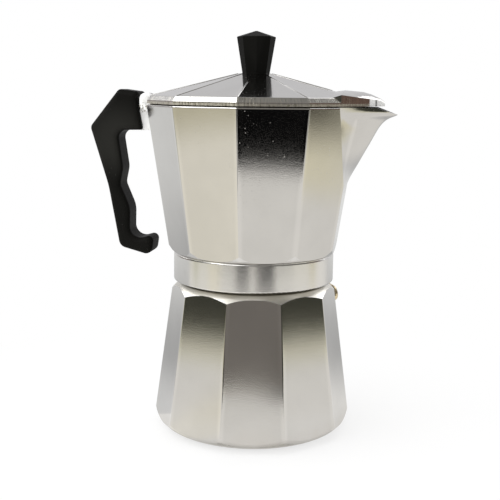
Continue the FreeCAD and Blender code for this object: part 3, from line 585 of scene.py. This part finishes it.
@dataclass(frozen=True)
class LidCasting(CastMetal):
    """The lid's casting: a filed edge whose colours are partly a painted highlight and painted shade, a
    painted reflection on the nose of the hood as a pale dull patch, and an underside dulled by steam.
    """

    roof_top: float = 182.4 * MM
    roof_slope: float = 0.268
    roof_depth: float = 1.0 * MM
    seat_reach: float = 7.8 * MM
    edge_start: float = 50.0 * MM
    rim_top: float = 168.2 * MM
    chamfer_top: float = 171.2 * MM
    # Filed marks, partly a painted highlight and a painted shade along the rim and chamfer.
    filed_and_highlight_colour: Colour = (0.84, 0.81, 0.71)
    grime_and_shade_colour: Colour = (0.26, 0.24, 0.17)
    # The nose's pale dull patch is a painted reflection, with a dark line across it.
    nose_reflection_start: float = 57.2 * MM
    nose_reflection_colour: Colour = (0.88, 0.88, 0.86)
    nose_dark_line_place: float = 60.6 * MM
    nose_dark_line_colour: Colour = (0.26, 0.26, 0.25)

    def surface(self, graph: Graph) -> dict[str, Any]:
        """Return what varies over the lid, by shader socket."""
        made = self.polished(graph)
        x, _, z = graph.axes(graph.place())
        _, out = graph.prism(self.corner_turn, self.corner_count)
        under = self.roof_top - (out - self.seat_reach) * self.roof_slope - z
        under = under.step(self.roof_depth, self.roof_depth + 0.6 * MM)
        within = out.step(self.edge_start + 0.4 * MM, self.edge_start - 0.2 * MM)
        self.tarnish_inside(graph, made, under * within)
        _, _, facing_up = graph.axes(graph.node("ShaderNodeTexCoord", output="Normal"))
        # Painted reflection: the hood's nose is a pale, dull, less metallic patch, with a dark line
        # across it.
        nose = x.step(self.nose_reflection_start, self.nose_reflection_start + 0.8 * MM) * facing_up.step(0.5, 0.2)
        nose_dark_line = (x - self.nose_dark_line_place).math("ABSOLUTE").step(0.55 * MM, 0.25 * MM)
        edge = out.step(self.edge_start, self.edge_start + 0.6 * MM)
        self.file_edge_and_paint_light(graph, made, z, edge * (1.0 - nose))
        made.stain(graph, nose, self.nose_reflection_colour, 0.35)
        made.stain(graph, nose * nose_dark_line, self.nose_dark_line_colour, 0.0)
        made.metallic = 1.0 - 0.8 * nose
        return made.sockets()

    def file_edge_and_paint_light(self, graph: Graph, made: Surface, z: Value, edge: Value) -> None:
        """File the lid's rim and chamfer with short upright strokes, whose colours are partly a painted
        highlight along both and a painted shade of the gap along the rim.

        Args:
            graph: The material's graph.
            made: The surface to change.
            z: The height, in metres.
            edge: Where the lid's edge is, from 0 to 1.
        """
        along, _ = graph.prism(self.corner_turn, self.corner_count)
        strokes = graph.noise(1.0, 2.0, graph.vector(along * 1300.0, 0.0, z * 160.0))
        patchy = 0.4 + 0.6 * graph.noise(45.0, 2.0).step(0.42, 0.60)
        ragged = graph.noise(520.0, 3.0)
        rim = edge * z.step(self.rim_top + 0.2 * MM, self.rim_top - 0.2 * MM)
        filed = edge * patchy * z.step(self.chamfer_top, self.chamfer_top - 0.5 * MM)
        # Rim: a bright golden band, a painted highlight, broken by dark patches, a painted shade of the
        # gap under the rim.
        made.stain(graph, rim * (0.5 + 0.4 * strokes), self.filed_and_highlight_colour, 0.42)
        made.stain(graph, rim * ragged.step(0.52, 0.66) * 0.7, self.grime_and_shade_colour, 0.10)
        # Chamfer: filed strokes, the bright ones partly a painted highlight.
        made.stain(graph, filed * strokes.step(0.46, 0.62) * 0.8, self.filed_and_highlight_colour, 0.20)
        made.stain(graph, filed * strokes.step(0.48, 0.34) * 0.4, self.grime_and_shade_colour, 0.04)
        made.normal = graph.bump(strokes * filed, 0.25, 0.00012, made.normal)


@dataclass(frozen=True)
class Moulding(Finish):
    """Black phenolic moulding: parting line, orange peel, dust, scuffs and a painted sheen on its cheeks.
    """

    metallic: float = 0.0
    cheek: float = 6.6 * MM
    sheen_middle: tuple[float, float] = (-71.0 * MM, 148.0 * MM)
    sheen_reach: float = 24.0 * MM
    sheen_gain: float = 3.8
    dust_colour: Colour = (0.20, 0.19, 0.18)
    seam_half_width: float = 0.28 * MM

    def surface(self, graph: Graph) -> dict[str, Any]:
        """Return what varies over the moulding, by shader socket."""
        cloud = graph.noise(32.0, 3.0)
        peel = graph.noise(420.0, 1.0)
        stretched = graph.node(
            "ShaderNodeMapping", inputs={"Vector": graph.place(), "Scale": (1.0, 1.0, 0.12)}
        )
        scuff = graph.noise(900.0, 2.0, stretched).step(0.63, 0.72)
        dust = graph.specks(900.0, 0.16, 0.05)
        x, y, z = graph.axes(graph.place())
        # Painted sheen: the cheeks are lighter than the inner faces, in clouds and most of all in a pool
        # round sheen_middle.
        sheen_x, sheen_z = self.sheen_middle
        offset = ((x - sheen_x) * (x - sheen_x) + (z - sheen_z) * (z - sheen_z)).math("SQRT")
        sheen = offset.step(self.sheen_reach, 0.2 * self.sheen_reach)
        cheek = y.math("ABSOLUTE").step(self.cheek, self.cheek + 1.4 * MM)
        painted_sheen_colour = tuple(self.sheen_gain * part for part in self.colour)
        colour = graph.mix(cheek * (0.22 * cloud + 0.70 * sheen), self.colour, painted_sheen_colour)
        colour = graph.mix(dust * 0.35, colour, self.dust_colour)
        seam = y.math("ABSOLUTE").step(self.seam_half_width, 0.10 * MM)
        return {
            "Base Color": colour,
            "Roughness": self.roughness + 0.08 * cloud + 0.10 * scuff + 0.2 * dust,
            "Normal": graph.bump(peel * 0.5 + seam, 0.12, 0.0003),
            "IOR": 1.5,
            "Specular IOR Level": 0.02,
        }


@dataclass(frozen=True)
class TurnedMetal(Finish):
    """Metal turned or drawn on a lathe, with fine rings about an axis."""

    rings: float = 3500.0
    tarnish: Colour = (0.20, 0.14, 0.07)

    def surface(self, graph: Graph) -> dict[str, Any]:
        """Return what varies over the turned piece, by shader socket."""
        x, y, z = graph.axes(graph.place())
        reach = (x * x + y * y).math("SQRT")
        rings = graph.noise(1.0, 2.0, graph.vector(reach * self.rings, 0.0, z * self.rings))
        cloud = graph.noise(260.0, 4.0)
        return {
            "Base Color": graph.mix(cloud.step(0.5, 0.85) * 0.5, self.colour, self.tarnish),
            "Roughness": self.roughness + 0.12 * cloud + 0.08 * rings,
            "Normal": graph.bump(rings, 0.12, 0.00006),
        }


@dataclass(frozen=True)
class Soft(Finish):
    """Dull rubber or fibre with a fine open grain."""

    metallic: float = 0.0

    def surface(self, graph: Graph) -> dict[str, Any]:
        """Return what varies over the soft seal, by shader socket."""
        cloud = graph.noise(120.0, 4.0)
        grain = graph.noise(2600.0, 3.0)
        dull = tuple(0.7 * part for part in self.colour)
        return {
            "Base Color": graph.mix(cloud.step(0.3, 0.75), dull, self.colour),
            "Roughness": self.roughness + 0.15 * cloud,
            "Normal": graph.bump(grain, 0.25, 0.0001),
        }


ALUMINIUM: Colour = (0.69, 0.68, 0.665)
BLACK: Colour = (0.0062, 0.0061, 0.0054)


class Finishes:
    """Every finish of the pot, made once."""

    def __init__(self) -> None:
        """Make the materials."""
        chalk = (0.50, 0.49, 0.46)
        coffee = (0.26, 0.17, 0.10)
        self.boiler = BoilerCasting(
            "cast_boiler", ALUMINIUM, 0.09, corner_turn=9.7, wall_reach=49.45 * MM, wall_height=0.0,
            wall_slope=-0.1284, inside_colour=chalk,
        ).material()
        self.jug = JugCasting(
            "cast_jug", ALUMINIUM, 0.09, corner_highlights_from=93.0 * MM, inside_colour=coffee,
        ).material()
        self.lid = LidCasting("cast_lid", ALUMINIUM, 0.10, inside_colour=coffee).material()
        self.column = CastMetal("cast_column", ALUMINIUM, 0.32, corner_count=3).material()
        self.spun = TurnedMetal(
            "spun_sheet", (0.74, 0.74, 0.73), 0.28, tarnish=(0.45, 0.44, 0.42),
        ).material()
        self.black = Moulding("black_phenolic", BLACK, 0.34).material()
        self.brass = TurnedMetal("turned_brass", (0.78, 0.66, 0.44), 0.24).material()
        self.steel = TurnedMetal(
            "plated_steel", (0.56, 0.56, 0.57), 0.24, tarnish=(0.30, 0.28, 0.26),
        ).material()
        # The hinge pin heads' near-white, mostly non-metal colour is partly painted light, standing in
        # for the light that blows the hinge out.
        self.pale_lit_rivet = Finish("pale_rivet_painted_light", (0.92, 0.92, 0.90), 0.45, metallic=0.2).material()
        self.rubber = Soft("seal_rubber", (0.80, 0.78, 0.72), 0.6).material()
        self.fibre = Soft("red_fibre", (0.45, 0.16, 0.10), 0.7).material()


def dress(node: str, material: bpy.types.Material) -> None:
    """Give a CAD node its finish.

    Args:
        node: The CAD node's name.
        material: Its finish.
    """
    piece = frame["nodes"][node]
    piece.data.materials.clear()
    piece.data.materials.append(material)
    log.info("dressed %s with %s", node, material.name)


ROD_SIDES = 20
ROD_ROUNDING = 0.7


def round_rod(name: str, start: Vector, end: Vector, radius: float) -> bpy.types.Object:
    """Make a thin rod with rounded ends.

    Args:
        name: The piece's name.
        start: The middle of one end, in metres.
        end: The middle of the other end.
        radius: The rod's radius.

    Returns:
        The piece, with its place in its mesh.
    """
    bpy.ops.object.select_all(action="DESELECT")
    run = end - start
    bpy.ops.mesh.primitive_cylinder_add(vertices=ROD_SIDES, radius=radius, depth=run.length)
    piece = bpy.context.object
    piece.name = name
    piece.location = (start + end) / 2
    piece.rotation_euler = run.to_track_quat("Z", "Y").to_euler()
    bpy.ops.object.transform_apply(location=True, rotation=True, scale=True)
    rounding = piece.modifiers.new("rounding", "BEVEL")
    rounding.width = ROD_ROUNDING * radius
    rounding.segments = 4
    rounding.limit_method = "ANGLE"
    rounding.angle_limit = math.radians(60)
    bpy.ops.object.modifier_apply(modifier=rounding.name)
    bpy.ops.object.shade_smooth_by_angle(angle=SMOOTH_ANGLE)
    return piece


def joined(pieces: list[bpy.types.Object], name: str) -> bpy.types.Object:
    """Join pieces into one mesh.

    Args:
        pieces: The pieces, all with their places in their meshes.
        name: The joined piece's name.

    Returns:
        The joined piece.
    """
    bpy.ops.object.select_all(action="DESELECT")
    for piece in pieces:
        piece.select_set(True)
    bpy.context.view_layer.objects.active = pieces[0]
    bpy.ops.object.join()
    whole = bpy.context.object
    whole.name = name
    return whole


def finish_piece(piece: bpy.types.Object, body: str, material: bpy.types.Material) -> None:
    """Give a new piece its finish and the body it moves with.

    Args:
        piece: The new piece.
        body: The body's name.
        material: Its finish.
    """
    piece.data.materials.clear()
    piece.data.materials.append(material)
    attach(piece, body)
    log.info("built %s on %s", piece.name, body)


@dataclass
class Assembly:
    """A group of pieces that is built and dressed together."""

    finishes: Finishes

    def build(self) -> None:
        """Make the pieces that the solids leave to the scene, where the group has any."""

    def dress(self) -> None:
        """Give the group's solids their finishes."""
        raise NotImplementedError


@dataclass
class Boiler(Assembly):
    """The lower half: casting, safety valve and water space."""

    spring_joint: str = "valve_slide"
    coil_radius: float = 2.1 * MM
    wire_radius: float = 0.25 * MM
    wire_sides: int = 14
    coil_turns: float = 3.2
    steps_per_turn: int = 40
    end_gap: float = 0.02 * MM

    def build(self) -> None:
        """Wind the valve's spring in its solid's place."""
        joint = next(each for each in frame["joints"] if each["name"] == self.spring_joint)
        axis = Vector(joint["axis"]).normalized()
        washer_low, washer_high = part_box("valve_washer")
        middle = (Vector(washer_low) + Vector(washer_high)) / 2
        heights = [axis.dot(point.co - middle) for point in frame["nodes"]["valve_spring"].data.vertices]
        low = min(heights)
        high = max(heights)
        spring = self.wind(high - low - 2 * self.wire_radius)
        foot = middle + axis * (low + self.wire_radius)
        spring.matrix_world = Matrix.Translation(foot) @ axis.to_track_quat("Z", "Y").to_matrix().to_4x4()
        bpy.ops.object.transform_apply(location=True, rotation=True, scale=True)
        finish_piece(spring, "boiler", self.finishes.steel)
        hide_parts("valve_spring")
        fixed_end = high + self.end_gap
        travel = max(joint["range_m"])
        1.0 - travel / (fixed_end - low)
        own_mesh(spring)

    def wind(self, rise: float) -> bpy.types.Object:
        """Wind a closed coil of round wire upwards from the origin.

        Args:
            rise: The height from the first turn's wire to the last one's, between middles.

        Returns:
            The coil.
        """
        bpy.ops.object.select_all(action="DESELECT")
        bpy.ops.mesh.primitive_circle_add(
            vertices=self.wire_sides, radius=self.wire_radius, location=(self.coil_radius, 0.0, 0.0),
            rotation=(math.pi / 2, 0.0, 0.0),
        )
        coil = bpy.context.object
        coil.name = "valve_spring_coil"
        bpy.ops.object.transform_apply(location=True, rotation=True, scale=True)
        winding = coil.modifiers.new("winding", "SCREW")
        winding.angle = 2 * math.pi * self.coil_turns
        winding.screw_offset = rise
        winding.steps = round(self.steps_per_turn * self.coil_turns)
        winding.render_steps = winding.steps
        bpy.ops.object.modifier_apply(modifier=winding.name)
        bpy.ops.object.mode_set(mode="EDIT")
        bpy.ops.mesh.select_all(action="SELECT")
        bpy.ops.mesh.fill_holes(sides=0)
        bpy.ops.mesh.select_all(action="SELECT")
        bpy.ops.mesh.normals_make_consistent(inside=False)
        bpy.ops.object.mode_set(mode="OBJECT")
        bpy.ops.object.shade_smooth_by_angle(angle=SMOOTH_ANGLE)
        return coil

    def dress(self) -> None:
        """Give the casting and the valve their finishes."""
        dress("boiler", self.finishes.boiler)
        for node in ("valve_body", "valve_cap", "valve_plunger"):
            dress(node, self.finishes.brass)
        dress("valve_washer", self.finishes.fibre)
        dress("valve_spring", self.finishes.steel)


@dataclass
class Funnel(Assembly):
    """The basket for the ground coffee, with its sieve."""

    def dress(self) -> None:
        """Give the funnel and its sieve their finish."""
        for node in ("funnel", "funnel_screen"):
            dress(node, self.finishes.spun)


@dataclass
class Jug(Assembly):
    """The upper half: casting, seal, column, hinge pin and handle."""

    hinge_x: float = -55.5 * MM
    hinge_z: float = 169.0 * MM
    head_radius: float = 2.1 * MM
    head_inside: float = 6.6 * MM
    head_outside: float = 7.9 * MM

    def build(self) -> None:
        """Peen a rounded head on each end of the hinge pin."""
        heads = []
        for hand in (-1.0, 1.0):
            start = Vector((self.hinge_x, hand * self.head_inside, self.hinge_z))
            end = Vector((self.hinge_x, hand * self.head_outside, self.hinge_z))
            heads.append(round_rod("hinge_pin_head", start, end, self.head_radius))
        finish_piece(joined(heads, "hinge_pin_heads"), "jug", self.finishes.pale_lit_rivet)

    def dress(self) -> None:
        """Give the jug's nodes their finishes."""
        dress("upper_chamber", self.finishes.jug)
        dress("coffee_column", self.finishes.column)
        dress("filter_plate", self.finishes.spun)
        dress("gasket", self.finishes.rubber)
        dress("handle", self.finishes.black)
        # The polished facet beside the handle mirrors the floor and not the handle.
        frame["nodes"]["handle"].visible_glossy = False
        for node in ("hinge_pin", "handle_screw", "handle_washer"):
            dress(node, self.finishes.steel)


@dataclass
class Lid(Assembly):
    """The hinged lid with its knob and the raised line along each of its ridges."""

    ridge_count: int = 10
    ridge_radius: float = 0.34 * MM
    ridge_sink: float = 0.14 * MM
    top_reach: float = 9.0 * MM
    top_height: float = 182.2 * MM
    eave_reach: float = 52.4 * MM
    hood_reach: float = 39.5 * MM
    hood_half_angle: float = 26.0
    slope: float = 0.2551

    def build(self) -> None:
        """Lay a fine rounded line along each ridge of the roof."""
        lines = []
        for index in range(self.ridge_count):
            around = 2 * math.pi * (index + 0.5) / self.ridge_count
            under_hood = math.cos(around) > math.cos(math.radians(self.hood_half_angle))
            reach = self.hood_reach if under_hood else self.eave_reach
            lines.append(round_rod(
                "lid_line", self.ridge_point(around, self.top_reach), self.ridge_point(around, reach),
                self.ridge_radius,
            ))
        finish_piece(joined(lines, "lid_lines"), "lid", self.finishes.lid)

    def ridge_point(self, around: float, reach: float) -> Vector:
        """Return the middle of a ridge's line.

        Args:
            around: The ridge's angle.
            reach: The distance out from the axis.

        Returns:
            The point, in metres.
        """
        height = self.top_height - (reach - self.top_reach) * self.slope - self.ridge_sink
        return Vector((reach * math.cos(around), reach * math.sin(around), height))

    def dress(self) -> None:
        """Give the lid's nodes their finishes."""
        dress("lid", self.finishes.lid)
        dress("knob", self.finishes.black)
        dress("knob_insert", self.finishes.brass)
        for node in ("knob_screw", "knob_washer"):
            dress(node, self.finishes.steel)


@dataclass
class Viewpoint:
    """The camera's place, turns and focal length, found from the pot's own edges."""

    distance: float = 490.83 * MM
    height: float = 175.38 * MM
    around: float = 0.158828
    yaw: float = 0.0039116
    pitch: float = 0.1673717
    roll: float = -0.0123818
    focal_pixels: float = 961.73
    frame_pixels: float = 500.0
    sensor: float = 36.0
    nearest: float = 10.0 * MM

    def build(self) -> None:
        """Make the scene's camera."""
        data = bpy.data.cameras.new("viewpoint")
        data.sensor_width = self.sensor
        data.lens = self.focal_pixels * self.sensor / self.frame_pixels
        data.clip_start = self.nearest
        camera = bpy.data.objects.new("viewpoint", data)
        bpy.context.scene.collection.objects.link(camera)
        heading = self.around + self.yaw
        ahead = Vector((-math.sin(heading), math.cos(heading), 0.0))
        right = Vector((math.cos(heading), math.sin(heading), 0.0))
        ahead = ahead * math.cos(self.pitch) - Vector((0, 0, math.sin(self.pitch)))
        down = ahead.cross(right)
        side = right * math.cos(self.roll) + down * math.sin(self.roll)
        below = down * math.cos(self.roll) - right * math.sin(self.roll)
        turn = Matrix((side, -below, -ahead)).transposed().to_4x4()
        place = Vector((math.sin(self.around), -math.cos(self.around), 0.0)) * self.distance
        place.z = self.height
        camera.matrix_world = Matrix.Translation(place) @ turn
        bpy.context.scene.camera = camera


@dataclass(frozen=True)
class Softbox:
    """One square soft lamp, aimed at the pot."""

    name: str
    around: float
    lift: float
    away: float = 1.25
    size: float = 0.5
    power: float = 4.0
    aim_height: float = 100.0 * MM

    def build(self) -> None:
        """Hang the lamp."""
        data = bpy.data.lights.new(self.name, "AREA")
        data.size = self.size
        data.energy = self.power
        lamp = bpy.data.objects.new(self.name, data)
        bpy.context.scene.collection.objects.link(lamp)
        around = math.radians(self.around)
        lift = math.radians(self.lift)
        level = self.away * math.cos(lift)
        lamp.location = (level * math.cos(around), level * math.sin(around), self.away * math.sin(lift))
        aim = Vector((0.0, 0.0, self.aim_height)) - Vector(lamp.location)
        lamp.rotation_euler = aim.to_track_quat("-Z", "Y").to_euler()


@dataclass(frozen=True)
class MirroredPatch:
    """A part of the floor that has another tone for the rays that polished metal mirrors.

    It lies at an angle about the pot with a half width, both in degrees, and comes in over a fade
    from a distance out from the pot's axis, both in metres.
    """

    around: float
    half_width: float
    start: float
    fade: float
    colour: Colour
    soft: float = 4.0

    def share(self, around: Value, away: Value) -> Value:
        """Return how far the floor has the patch's tone at a point.

        Args:
            around: The point's angle about the pot, in degrees.
            away: The point's distance from the pot, in metres.

        Returns:
            0 where the floor is as it was and 1 where it has the patch's colour.
        """
        offset = (around - self.around).math("ABSOLUTE")
        across = offset.step(self.half_width + self.soft, self.half_width - self.soft)
        return across * away.step(self.start, self.start + self.fade)


@dataclass
class Studio:
    """White floor and room for the camera, a pale dome and four soft lamps for the light.

    Rays that polished metal mirrors see a pale floor near the pot, and a floor and a room with
    darker and warmer tones further out, which give the facets their shading.
    """

    floor_size: float = 6.0
    matt: Colour = (0.9, 0.9, 0.89)
    matt_roughness: float = 0.6
    shadow_span: tuple[float, float] = (0.05, 0.22)
    seen_glow: float = 0.72
    mirrored_glow: float = 0.55
    white: Colour = (1.0, 1.0, 1.0)
    dome: Colour = (0.94, 0.94, 0.95)
    mirrored_floor: Colour = (0.86, 0.84, 0.80)
    wall: Colour = (0.66, 0.655, 0.665)
    overhead: Colour = (0.25, 0.242, 0.225)
    front: Colour = (0.20, 0.183, 0.165)
    side: Colour = (0.14, 0.09, 0.07)
    near_side: Colour = (0.046, 0.046, 0.035)
    near_side_span: tuple[float, float] = (0.0, 0.14)
    side_span: tuple[float, float] = (0.40, 0.85)
    overhead_span: tuple[float, float] = (0.08, 0.55)
    wall_span: tuple[float, float] = (0.40, 0.72)
    patches: tuple[MirroredPatch, ...] = (
        # Floor in front, yellowish and then dark: the boiler's side facets.
        MirroredPatch(-80.0, 100.0, 0.46, 0.22, (0.80, 0.77, 0.62)),
        MirroredPatch(-80.0, 100.0, 0.62, 0.72, (0.06, 0.06, 0.044)),
        # Band at the left end of the turned ring.
        MirroredPatch(-167.0, 5.0, 0.42, 0.06, (0.60, 0.59, 0.45), soft=3.0),
        # Floor behind, darker near the pot as a painted shadow of the pot that only mirrored rays see:
        # the facets at the far left and far right.
        MirroredPatch(117.0, 72.0, 0.0, 0.05, (0.49, 0.49, 0.49), soft=16.0),
        MirroredPatch(117.0, 72.0, 0.20, 0.50, (0.78, 0.78, 0.77), soft=16.0),
        # Black in the jug's front facet.
        MirroredPatch(-63.0, 10.0, 0.39, 0.02, (0.003, 0.003, 0.003), soft=3.0),
        # Two smudges on the turned ring.
        MirroredPatch(-72.5, 5.0, 0.40, 0.05, (0.004, 0.004, 0.004), soft=3.0),
        MirroredPatch(-95.5, 9.0, 0.40, 0.05, (0.004, 0.004, 0.004)),
        # Brown in the boiler's front facet, and the dark lines along its two corners.
        MirroredPatch(-80.0, 11.0, 0.52, 0.16, (0.20, 0.183, 0.165)),
        MirroredPatch(-113.0, 17.0, 0.60, 0.08, (0.03, 0.03, 0.025)),
        MirroredPatch(-40.0, 14.0, 0.60, 0.08, (0.03, 0.03, 0.025)),
        # Warm tones in the jug's left facet.
        MirroredPatch(-136.0, 9.0, 0.0, 0.05, (0.93, 0.89, 0.78)),
        MirroredPatch(-136.0, 9.0, 0.48, 0.16, (0.60, 0.56, 0.41)),
        # Yellowish and then dark in the jug's right facet.
        MirroredPatch(8.0, 6.0, 0.38, 0.12, (0.82, 0.77, 0.59)),
        MirroredPatch(8.0, 6.0, 0.53, 0.27, (0.06, 0.055, 0.04)),
    )
    lamps: tuple[Softbox, ...] = (
        Softbox("left_softbox", 197.0, 52.0, size=0.7, power=3.2),
        Softbox("front_softbox", -122.0, 45.0, size=1.0, power=5.0),
        Softbox("back_left_softbox", 153.0, 37.0, size=0.5, power=1.3),
        Softbox("back_right_softbox", 54.0, 37.0, size=0.6, power=1.6),
    )

    def build(self) -> None:
        """Set up the floor, the room and the lamps."""
        self.lay_floor()
        self.light_room()
        for lamp in self.lamps:
            lamp.build()
        bpy.context.scene.view_settings.view_transform = "Standard"

    def lay_floor(self) -> None:
        """Make the floor that the pot stands on, which keeps the pot's shadow."""
        bpy.ops.object.select_all(action="DESELECT")
        bpy.ops.mesh.primitive_plane_add(size=self.floor_size)
        floor = bpy.context.object
        floor.name = "floor"
        made = bpy.data.materials.new("pale_floor")
        made.use_nodes = True
        graph = Graph(made.node_tree)
        x, y, _ = graph.axes(graph.place())
        away = (x * x + y * y).math("SQRT")
        around = y.math("ARCTAN2", x) * (180.0 / math.pi)
        mirror_image = self.mirrored_floor
        for patch in self.patches:
            mirror_image = graph.mix(patch.share(around, away), mirror_image, patch.colour)
        seen, mirrored = self.rays(graph)
        matt = graph.node(
            "ShaderNodeBsdfPrincipled",
            inputs={"Base Color": (*self.matt, 1.0), "Roughness": self.matt_roughness},
        )
        glow = graph.mix(mirrored, self.white, mirror_image)
        glowing = graph.node("ShaderNodeEmission", inputs={"Color": glow, "Strength": 1.0})
        clear = away.step(*self.shadow_span)
        share = seen * (self.seen_glow + (1.0 - self.seen_glow) * clear)
        share = share + mirrored * (self.mirrored_glow + (1.0 - self.mirrored_glow) * clear)
        surface = graph.node("ShaderNodeMixShader", inputs={0: share, 1: matt, 2: glowing})
        graph.node("ShaderNodeOutputMaterial", inputs={"Surface": surface})
        floor.data.materials.append(made)

    @staticmethod
    def rays(graph: Graph) -> tuple[Value, Value]:
        """Tell the rays that see the plain white background from those that metal mirrors.

        Args:
            graph: The floor's or the world's graph.

        Returns:
            1 for rays from the camera or through glass, and 1 for rays mirrored by metal.
        """
        camera = graph.node("ShaderNodeLightPath", output="Is Camera Ray")
        through = graph.node("ShaderNodeLightPath", output="Is Transmission Ray")
        glossy = graph.node("ShaderNodeLightPath", output="Is Glossy Ray")
        return camera.math("MAXIMUM", through), glossy * (1.0 - through)

    def light_room(self) -> None:
        """Make the world: a plain pale dome, which polished metal mirrors as a dim room."""
        world = bpy.data.worlds.new("room")
        bpy.context.scene.world = world
        world.use_nodes = True
        graph = Graph(world.node_tree)
        across, ahead, up = graph.axes(graph.node("ShaderNodeTexCoord", output="Generated"))
        side = graph.mix(ahead.step(*self.near_side_span), self.near_side, self.side)
        dim = graph.mix(across.math("ABSOLUTE").step(*self.side_span), self.front, side)
        dim = graph.mix(up.step(*self.overhead_span), dim, self.overhead)
        room = graph.mix(ahead.step(*reversed(self.wall_span)), self.wall, dim)
        seen, mirrored = self.rays(graph)
        colour = graph.mix(mirrored, self.dome, room)
        colour = graph.mix(seen, colour, self.white)
        background = graph.node("ShaderNodeBackground", inputs={"Color": colour, "Strength": 1.0})
        graph.node("ShaderNodeOutputWorld", inputs={"Surface": background})


def main() -> None:
    """Build and dress the pot, piece by piece."""
    logging.basicConfig(level=logging.INFO)
    finishes = Finishes()
    for assembly in (Boiler(finishes), Funnel(finishes), Jug(finishes), Lid(finishes)):
        assembly.build()
        assembly.dress()
    Studio().build()
    Viewpoint().build()


if __name__ == "__main__":
    main()
